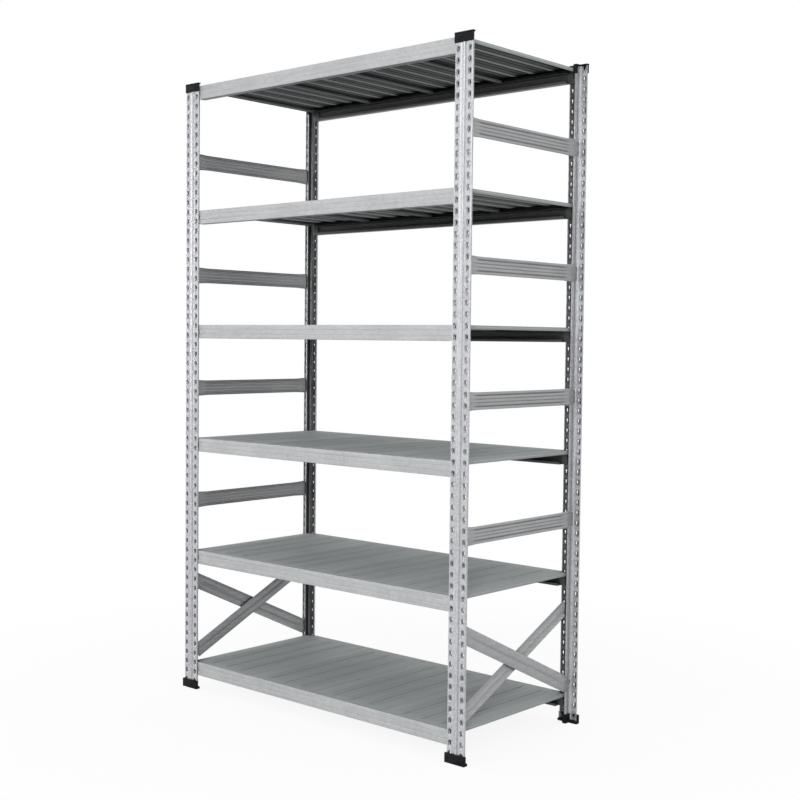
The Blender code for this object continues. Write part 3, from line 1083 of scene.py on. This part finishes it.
@dataclass(frozen=True)
class Sockets:
    """The plastic caps and feet: T-shaped cups with a thick plate and softened edges."""

    layout: Layout
    cap: Cup = Cup(0.004, 0.0027, 0.0004)
    foot: Cup = Cup(0.0075, 0.0045)
    brow_height: float = 0.0042
    block_wall: float = 0.0035
    sleeve: float = 0.0205
    corner: float = 0.0014
    block_corner: float = 0.001
    edge: float = 0.0007
    rim_edge: float = 0.00028
    plate_edge: float = 0.00021
    shave: float = 0.0001

    def outer(self, wall: float) -> list[Triple]:
        """Corners of the outer outline.

        Args:
            wall: Thickness of the walls.

        Returns:
            The corners as (x, y, radius).
        """
        layout, reach = self.layout, self.layout.clearance + wall
        side = layout.post_width / 2 + reach
        back = layout.lip + reach
        web = layout.web_half + layout.clearance + self.block_wall
        return mirrored([(side, -reach, self.corner), (side, back, self.corner), (web, back, self.block_corner),
                         (web, layout.web_depth + reach, self.corner)])

    def hollow(self, wall: float, grip: float) -> list[Point]:
        """Outline of what is cut out for the post.

        Args:
            wall: Thickness of the walls.
            grip: How far they reach round the post's sides, from its outer face.

        Returns:
            The outline.
        """
        layout, clearance = self.layout, self.layout.clearance
        side = layout.post_width / 2 + clearance
        past = side + wall + OVERRUN
        back = layout.lip + clearance + wall + OVERRUN
        web = layout.web_half + clearance
        outside = web + self.block_wall - self.shave
        root = layout.flange_back + clearance
        return mirrored([(side, -clearance), (side, grip), (past, grip), (past, back), (outside, back),
                         (outside, root), (web, root), (web, layout.web_depth + clearance)])

    def open_web(self) -> list[Point]:
        """Outline of what is cut away under a cap's plate, where the web stays bare up to the sleeve on its tip."""
        half = self.layout.web_half + self.layout.clearance + self.block_wall + OVERRUN
        return rectangle(-half, half, self.layout.flange_back, self.sleeve)

    def shape(self, kind: str, cup: Cup) -> Mesh:
        """Shape one kind of cup.

        Args:
            kind: The kind's word in node names.
            cup: Its sizes.

        Returns:
            The cup, its open end at z = 0 and its plate on top.
        """
        low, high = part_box(f"{kind}_front_right")
        height = high.z - low.z
        wall = (high.x - low.x - self.layout.post_width) / 2 - self.layout.clearance
        full = rounded(self.outer(wall))
        back = inset(full, cup.brow) if cup.brow else full
        ledge = height - self.brow_height
        sections = [(0, inset(back, self.rim_edge)), (self.rim_edge, back)]
        if cup.brow:
            sections += [(ledge - cup.brow, back), (ledge, full)]
        sections += [(height - self.edge, full), (height - self.plate_edge, inset(full, self.plate_edge)),
                     (height, inset(full, self.edge))]
        top = height - cup.plate
        cutters = [block("inside", self.hollow(wall, cup.grip), -OVERRUN, top, Plane.LEVEL)]
        if cup.brow:
            cutters.append(block("web_room", self.open_web(), -OVERRUN, top - self.shave, Plane.LEVEL))
        return combine(loft(kind, sections, Plane.LEVEL), cutters, "DIFFERENCE")

    def build(self) -> None:
        """Set the caps and the feet."""
        cap, foot = self.shape("cap", self.cap), self.shape("foot", self.foot)
        cap_rise = Matrix.Translation((0, 0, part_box("cap_front_right")[0].z))
        foot_rise = Matrix.Translation((0, 0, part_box("foot_front_right")[1].z))
        upside_down = Matrix.Rotation(math.pi, 4, "Y")
        for words, place in self.layout.corners():
            set_piece(f"cap_{words}", cap, place @ cap_rise, PLASTIC)
            set_piece(f"foot_{words}", foot, place @ foot_rise @ upside_down, PLASTIC)


@dataclass(frozen=True)
class Beams:
    """The beams: a rolled section with a grooved face, and hooked tabs behind the posts' flanges."""

    layout: Layout
    sheet: float = 0.0012
    height: float = 0.047
    setback: float = 0.005
    riser: float = 0.0078
    ledge_drop: float = 0.0123
    ledge: float = 0.016
    foot: float = 0.024
    foot_lip: float = 0.008
    bend: float = 0.0008
    groove_shares: Point = (1 / 3, 2 / 3)
    groove_half: float = 0.0016
    groove_depth: float = 0.0007
    end_gap: float = 0.0024
    notch_width: float = 0.0034
    notch_shares: Point = (0.68, 0.33)
    notch_corner: float = 0.0012
    tab_root: float = 0.006
    tab_reach: float = 0.0045
    tab_drop: float = 0.001
    tab_corner: float = 0.002
    hook_front: float = 0.0011
    hook_width: float = 0.0024
    hook_height: float = 0.0053
    hook_seat: float = 0.0057
    slot_half: float = 0.0085

    def section(self) -> list[Point]:
        """Bend the section.

        Returns:
            Its outline as (y, z) points, the posts' outer face at y = 0.
        """
        half, soft = self.sheet / 2, self.bend
        face, riser = self.setback + half, self.riser + half
        ledge, low = -self.ledge_drop - half, half - self.height
        foot = self.setback + self.foot - half
        path = [(riser + half + self.ledge, ledge, 0), (riser, ledge, soft), (riser, -half, soft), (face, -half, soft)]
        for share in self.groove_shares:
            path += groove(face, face + self.groove_depth, -self.height * share, -self.groove_half, soft)
        path += [(face, low, soft), (foot, low, soft), (foot, self.foot_lip - self.height, 0)]
        return RolledSheet(path, self.sheet).outline()

    @property
    def end(self) -> float:
        """Half the length of the beam's face."""
        return self.layout.post_middle - self.layout.post_width / 2 - self.end_gap

    @staticmethod
    def plate(name: str, across: Point, upright: Point, radius: float, through: Point) -> Mesh:
        """An upright plate with two rounded corners.

        Args:
            name: The mesh's name.
            across: Its ends along X, of which the second is the rounded one.
            upright: Its lower and upper edge.
            radius: Radius of the corners.
            through: Its front and back.

        Returns:
            The plate.
        """
        corners = [(x, z, radius if x == across[1] else 0) for x, z in rectangle(*sorted(across), *upright)]
        return block(name, rounded(corners), *through, Plane.ALONG)

    def tab(self, sign: int) -> Mesh:
        """The plate at one end that reaches behind the flange.

        Args:
            sign: -1 for the left end and 1 for the right one.

        Returns:
            The plate.
        """
        root = sign * (self.end - self.tab_root)
        tip = sign * (self.layout.inner_slots + self.tab_reach)
        upright = (self.sheet / 2 - self.height, -self.tab_drop)
        return self.plate("tab", (root, tip), upright, self.tab_corner, (self.riser, self.riser + self.sheet))

    def hook(self, sign: int, step: int) -> Mesh:
        """One hook, from the tab through its slot.

        Args:
            sign: -1 for the left end and 1 for the right one.
            step: How many steps of the raster it lies below the upper hook.

        Returns:
            The hook.
        """
        layout, half = self.layout, self.hook_width / 2
        middle = sign * layout.inner_slots
        low = -layout.hook_drop - layout.raster * step - self.slot_half + self.hook_seat
        shape = rectangle(middle - half, middle + half, low, low + self.hook_height)
        return block("hook", shape, self.hook_front, self.riser + self.sheet / 2, Plane.ALONG)

    def notch(self) -> Mesh:
        """Cutter for the notch in the face, at the beam's left end.

        Returns:
            The cutter.
        """
        low, high = (-self.height * share for share in self.notch_shares)
        through = (self.setback - OVERRUN, self.setback + self.sheet + OVERRUN)
        across = (-self.end - OVERRUN, self.notch_width - self.end)
        return self.plate("notch", across, (low, high), self.notch_corner, through)

    def mesh(self) -> Mesh:
        """Shape one beam.

        Returns:
            The beam, with its shelf surface at z = 0 and the notch that shows at its left end.
        """
        outline = self.section()
        body = loft("beam", [(-self.end, outline), (self.end, outline)], Plane.ACROSS)
        added = [self.tab(-1), self.tab(1)] + [self.hook(sign, step) for sign in (-1, 1) for step in (0, 1)]
        return combine(combine(body, added, "UNION"), [self.notch()], "DIFFERENCE")

    def build(self) -> None:
        """Set the beams of every shelf."""
        mesh = self.mesh()
        for level, height in enumerate(self.layout.shelves, start=1):
            for row in Row:
                set_piece(f"beam_{row.word}_{level}", mesh, self.layout.at(row, 0, height), BEAM_ZINC)


@dataclass(frozen=True)
class Decks:
    """The deck panels: folded edges and ribs that run out before the panel's ends."""

    layout: Layout
    rows: CellRow
    panels: int = 4
    ribs: int = 3
    sheet: float = 0.001
    edge: float = 0.012
    bend: float = 0.001
    edge_groove: float = 0.0012
    edge_groove_half: float = 0.0026
    rib_half: float = 0.0062
    rib_floor: float = 0.0038
    rib_depth: float = 0.0048
    rib_bend: float = 0.0008
    line_half: float = 0.0022
    line_depth: float = 0.0011
    least_depth: float = 0.00005
    lines_beside_rib: int = 3
    bend_steps: int = 2
    run_out: float = 0.045
    run_steps: int = 4
    plain_end: float = 0.012

    def stations(self, length: float) -> list[Point]:
        """Places along the panel with the share of the rib's depth there."""
        half = length / 2
        return mirrored([*run_out(half - self.plain_end, self.run_out, self.run_steps), (half, 0.0)])

    def rib(self, pitch: float, depth: float) -> list[Station]:
        """Follow the sheet across one rib's cell, with fine rolled lines on both sides of the rib.

        Args:
            pitch: Width of the cell.
            depth: The share of the rib's depth.

        Returns:
            Points along the middle of the sheet, each with its normal.
        """
        top, soft = -self.sheet / 2, self.rib_bend
        low = top - max(self.rib_depth * depth, self.least_depth)
        sunk = top - max(self.line_depth * depth, self.least_depth)
        right = [(self.rib_floor, low, soft), (self.rib_half, top, soft)]
        room = (pitch / 2 - self.rib_half) / (self.lines_beside_rib + 1)
        for line in range(self.lines_beside_rib):
            middle = self.rib_half + room * (line + 1)
            right += [(x, z, radius) for z, x, radius in groove(top, sunk, middle, self.line_half, soft)]
        return RolledSheet(mirrored([*right, (pitch / 2, top, 0)]), self.sheet, self.bend_steps).stations()

    def cell(self, pitch: float, length: float) -> Mesh:
        """One rib with the flat sheet beside it.

        Args:
            pitch: Width of the cell.
            length: Length of the panel.

        Returns:
            The cell, open at its sides.
        """
        shape = bmesh.new()
        skins: list[list[list[bmesh.types.BMVert]]] = [[], []]
        for place, depth in self.stations(length):
            stations = self.rib(pitch, depth)
            for rows, sign in zip(skins, (1, -1)):
                points = [middle + normal * sign * self.sheet / 2 for middle, normal in stations]
                rows.append([shape.verts.new((x, place, z)) for x, z in points])
        upper, lower = skins
        for rows in (upper, lower, (upper[0], lower[0]), (upper[-1], lower[-1])):
            skin(shape, rows, closed=False)
        return as_mesh(shape, "rib_cell", closed=False)

    def margin(self, sign: int, start: float, half_width: float, length: float) -> Mesh:
        """The sheet beside the outermost rib cell, with its folded edge.

        Args:
            sign: -1 for the left side and 1 for the right one.
            start: Where the rib cell ends.
            half_width: Half the width of the panel.
            length: Length of the panel.

        Returns:
            The margin, open towards the cell.
        """
        top, side, middle = -self.sheet / 2, half_width - self.sheet / 2, -self.edge / 2
        depth, half = self.edge_groove, self.edge_groove_half
        path = [(start, top, 0), (side, top, self.bend), *groove(side, side - depth, middle, -half, depth),
                (side, -self.edge, 0)]
        outline = RolledSheet(path, self.sheet).outline()
        shape = bmesh.new()
        rings = [[shape.verts.new((sign * x, place, z)) for x, z in outline] for place, _ in self.stations(length)]
        skin(shape, rings, closed=False)
        face = len(outline) // 2
        for ring in (rings[0], rings[-1]):
            skin(shape, (ring[:face], ring[:face - 1:-1]), closed=False)
        return as_mesh(shape, "deck_margin", closed=False)

    def mesh(self, width: float, length: float) -> Mesh:
        """Shape one panel.

        Args:
            width: Its width.
            length: Its length.

        Returns:
            The panel, its surface at z = 0.
        """
        pitch = width / (self.ribs + 1)
        cell = self.cell(pitch, length)
        cell.transform(Matrix.Translation((-pitch * (self.ribs - 1) / 2, 0, 0)))
        row = self.rows.repeat(cell, self.ribs, Vector((pitch, 0, 0)), DECK_ZINC)
        margins = [self.margin(sign, pitch * self.ribs / 2, width / 2, length) for sign in (-1, 1)]
        return as_mesh(joined([row, *margins]), "deck_panel")

    def build(self) -> None:
        """Set the panels of every shelf."""
        low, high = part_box("deck_1_panel_1")
        mesh = self.mesh(high.x - low.x, high.y - low.y)
        for level, height in enumerate(self.layout.shelves, start=1):
            for number in range(1, self.panels + 1):
                node = f"deck_{level}_panel_{number}"
                low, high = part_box(node)
                set_piece(node, mesh, Matrix.Translation(((low.x + high.x) / 2, 0, height)), DECK_ZINC)


@dataclass(frozen=True)
class Strip:
    """A folded strip whose grooves run out and whose ends are pressed flat into tongues.

    Each groove is (its place as a share of half the height, half its width, its depth).
    """

    height: float
    tongue_height: float
    grooves: tuple[Triple, ...]
    shoulder: float = 0.0022
    shoulder_drop: float = 0.0013
    waist: float = 0.95
    depth: float = 0.004
    sheet: float = 0.0012
    bend: float = 0.0008
    bend_steps: int = 3
    groove_bend: float = 0.0009
    least_depth: float = 0.00002
    run_out: float = 0.05
    run_steps: int = 6
    plain_end: float = 0.008
    press: float = 0.004
    pressed_share: float = 0.34
    tongue_step: float = 0.0002

    def section(self, share: float, squeeze: float, height: float) -> list[Point]:
        """Outline of the strip as (x, z) points.

        Args:
            share: The share of the grooves' depth.
            squeeze: The share of the strip's depth.
            height: The strip's height there.

        Returns:
            The outline.
        """
        half, soft = self.height / 2, self.groove_bend
        face = self.depth - self.sheet / 2
        edge = half - self.sheet / 2
        brow, side = edge - self.shoulder, face - self.shoulder_drop
        path = [(0, -edge, 0), (side, -edge, self.bend), (face, -brow, self.bend)]
        for middle_share, half_width, depth in self.grooves:
            floor = face - max(depth * share, self.least_depth)
            path += groove(face, floor, half * middle_share, half_width, soft)
        path += [(face, brow, self.bend), (side, edge, self.bend), (0, edge, 0)]
        stretch = height / self.height
        return [(x * squeeze, z * stretch) for x, z in RolledSheet(path, self.sheet, self.bend_steps).outline()]

    def mesh(self, name: str, body_half: float, tongue_half: float) -> Mesh:
        """The strip along Y, the face that meets the posts' webs at x = 0.

        Args:
            name: The mesh's name.
            body_half: Half the length between the webs' tips.
            tongue_half: Half the overall length.

        Returns:
            The strip.
        """
        pressed, full = self.pressed_share, self.height
        half = [(y, share, 1.0, full * (1 - (1 - self.waist) * share))
                for y, share in run_out(body_half - self.plain_end, self.run_out, self.run_steps)]
        half += [(body_half - self.press, 0.0, (1 + pressed) / 2, full), (body_half, 0.0, pressed, full),
                 (body_half + self.tongue_step, 0.0, pressed, self.tongue_height),
                 (tongue_half, 0.0, pressed, self.tongue_height)]
        return loft(name, [(y, self.section(*sizes)) for y, *sizes in mirrored(half)], Plane.ALONG)


@dataclass(frozen=True)
class SideStrips:
    """The level side bars and the crossed braces."""

    layout: Layout
    brace_low: float = 0.026
    brace_rise: float = 0.264
    tongue_clear: float = 0.004
    bar: Strip = Strip(0.0555, 0.044, ((-0.62, 0.0038, 0.0031), (-0.2, 0.0028, 0.0020), (0.2, 0.0028, 0.0020),
                                       (0.62, 0.0038, 0.0031)), waist=0.935)
    brace: Strip = Strip(0.052, 0.036, ((0.0, 0.0062, 0.0032),), shoulder=0.0090, shoulder_drop=0.0027, waist=1.0)

    @property
    def web_face(self) -> float:
        """Distance from a post's middle to the face of a strip on its web."""
        return self.layout.web_half + self.layout.clearance

    @property
    def between_webs(self) -> float:
        """Half the level distance between the webs' tips."""
        return self.layout.depth / 2 - self.layout.web_depth - self.layout.clearance

    def build_bars(self) -> None:
        """Set the side bars."""
        layout = self.layout
        tongue_half = layout.depth / 2 - layout.flange_back - self.tongue_clear
        right = self.bar.mesh("side_bar", self.between_webs, tongue_half)
        left = right.copy()
        left.transform(Matrix.Scale(-1, 4, (1, 0, 0)))
        left.flip_normals()
        for level, middle in enumerate(layout.bar_middles, start=FIRST_BAR_LEVEL):
            for side, mesh in ((Side.LEFT, left), (Side.RIGHT, right)):
                place = Matrix.Translation((side.value * (layout.post_middle + self.web_face), 0, middle))
                set_piece(f"side_bar_{side.word}_{level}", mesh, place, STRIP_ZINC)

    def build_braces(self) -> None:
        """Set the crossed braces."""
        layout = self.layout
        slope = math.atan2(self.brace_rise, layout.depth - layout.web_depth - layout.flange_back)
        corner = math.sin(slope) * self.brace.tongue_height / 2
        level_half = layout.depth / 2 - layout.flange_back - self.tongue_clear / 2 - corner
        mesh = self.brace.mesh("brace", self.between_webs / math.cos(slope), level_half / math.cos(slope))
        middle = layout.shelves[0] + self.brace_low + self.brace_rise / 2
        for side in Side:
            for layer, outward in (("outer", 1), ("inner", -1)):
                x = side.value * (layout.post_middle + outward * self.web_face)
                turn = Matrix.Rotation(math.pi if side.value * outward < 0 else 0, 4, "Z")
                tilt = Matrix.Rotation(-outward * slope, 4, "X")
                place = Matrix.Translation((x, 0, middle)) @ tilt @ turn
                set_piece(f"brace_{side.word}_{layer}", mesh, place, STRIP_ZINC)

    def build(self) -> None:
        """Set the strips on both sides."""
        self.build_bars()
        self.build_braces()


@dataclass(frozen=True)
class Lamp:
    """A soft square lamp that faces a point of the unit."""

    name: str
    place: Triple
    target: Triple
    size: float
    watts: float

    def build(self) -> None:
        """Hang the lamp."""
        data = bpy.data.lights.new(self.name, "AREA")
        data.shape = "SQUARE"
        data.size = self.size
        data.energy = self.watts
        lamp = add_object(self.name, data)
        lamp.location = self.place
        way = Vector(self.target) - Vector(self.place)
        lamp.rotation_euler = way.to_track_quat("-Z", "Y").to_euler()


@dataclass(frozen=True)
class Studio:
    """Pale floor, white background, soft lamps and the camera at the photograph's place."""

    azimuth: float = 41.634
    pitch: float = -2.6605
    roll: float = 0.609
    place: Triple = (2.9489, -3.1891, 1.2384)
    lens: float = 58.057
    sensor: float = 36
    floor_half: float = 12
    sky: float = 0.72
    ground: float = 0.12
    sky_band: Point = (-0.2, 0.6)
    floor_own_light: float = 0.9
    floor_bounce: float = 0.3
    shadow_reach: Point = (0.9, 2.4)
    lamps: tuple[Lamp, ...] = (
        Lamp("key_lamp", (-3.4, -14.5, 5.0), (0, 0, 1.1), 4.8, 410),
        Lamp("side_lamp", (-10.5, -2.4, 1.9), (0, 0, 1.1), 3.0, 290),
        Lamp("fill_lamp", (3.3, -4.1, 2.2), (0.5, 0, 1.3), 1.4, 98),
    )

    def build_camera(self) -> None:
        """Set up the camera."""
        azimuth, pitch, roll = (math.radians(angle) for angle in (self.azimuth, self.pitch, self.roll))
        level = math.cos(pitch)
        forward = Vector((-math.sin(azimuth) * level, math.cos(azimuth) * level, math.sin(pitch)))
        right = Vector((math.cos(azimuth), math.sin(azimuth), 0))
        up = right.cross(forward)
        rolled_right = math.cos(roll) * right + math.sin(roll) * up
        rolled_up = math.cos(roll) * up - math.sin(roll) * right
        data = bpy.data.cameras.new("camera")
        data.lens = self.lens
        data.sensor_width = self.sensor
        camera = add_object("camera", data)
        turn = Matrix((rolled_right, rolled_up, -forward)).transposed().to_4x4()
        camera.matrix_world = Matrix.Translation(self.place) @ turn
        bpy.context.scene.camera = camera

    @staticmethod
    def seen_as_white(graph: ShaderGraph) -> Signal:
        """1 where the eye, a reflection or a pane looks, and 0 where the surface lights the object.

        Args:
            graph: The graph of the world or of the floor.

        Returns:
            The signal.
        """
        path = graph.node("ShaderNodeLightPath")
        seen = path["Is Camera Ray"] + path["Is Glossy Ray"] + path["Is Transmission Ray"]
        return graph.node("ShaderNodeClamp", None, {"Value": seen})["Result"]

    def build_world(self) -> None:
        """White to the eye, and a plain level of light for the object."""
        graph = ShaderGraph(bpy.data.worlds.new("studio_white"))
        up = graph.axes(graph.node("ShaderNodeTexCoord")["Generated"])["Z"].band(*self.sky_band)
        dome = self.ground + up * (self.sky - self.ground)
        strength = dome + self.seen_as_white(graph) * (1 - dome)
        light = graph.node("ShaderNodeBackground", None, {"Color": WHITE, "Strength": strength})
        bpy.context.scene.world = graph.finish(light["Background"])

    def build_floor(self) -> None:
        """A pale floor that keeps a soft shadow."""
        graph = ShaderGraph(bpy.data.materials.new("pale_floor"))
        seen = self.seen_as_white(graph)
        tone = graph.blend(seen, (self.floor_bounce,) * 3, WHITE)
        matt = graph.node("ShaderNodeBsdfDiffuse", None, {"Color": tone})["BSDF"]
        glow = graph.node("ShaderNodeEmission", None, {"Color": WHITE})["Emission"]
        distance = graph.node("ShaderNodeVectorMath", {"operation": "LENGTH"}, {0: graph.place()})["Value"]
        own = self.floor_own_light + distance.band(*self.shadow_reach) * (1 - self.floor_own_light)
        mixed = graph.node("ShaderNodeMixShader", None, {0: seen * own, 1: matt, 2: glow})["Shader"]
        shape = bmesh.new()
        bmesh.ops.create_grid(shape, x_segments=1, y_segments=1, size=self.floor_half)
        mesh = as_mesh(shape, "floor", closed=False)
        mesh.materials.append(graph.finish(mixed))
        add_object("floor", mesh)

    def build(self) -> None:
        """Set up the studio."""
        bpy.context.scene.view_settings.view_transform = "Standard"
        self.build_camera()
        self.build_world()
        self.build_floor()
        for lamp in self.lamps:
            lamp.build()


def main() -> None:
    """Build every sub-assembly and the studio."""
    logging.basicConfig(level=logging.INFO, format="%(message)s")
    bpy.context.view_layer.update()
    layout = Layout.read()
    rows = CellRow()
    Posts(layout, rows).build()
    Sockets(layout).build()
    Beams(layout).build()
    Decks(layout, rows).build()
    SideStrips(layout).build()
    Studio().build()


if __name__ == "__main__":
    main()
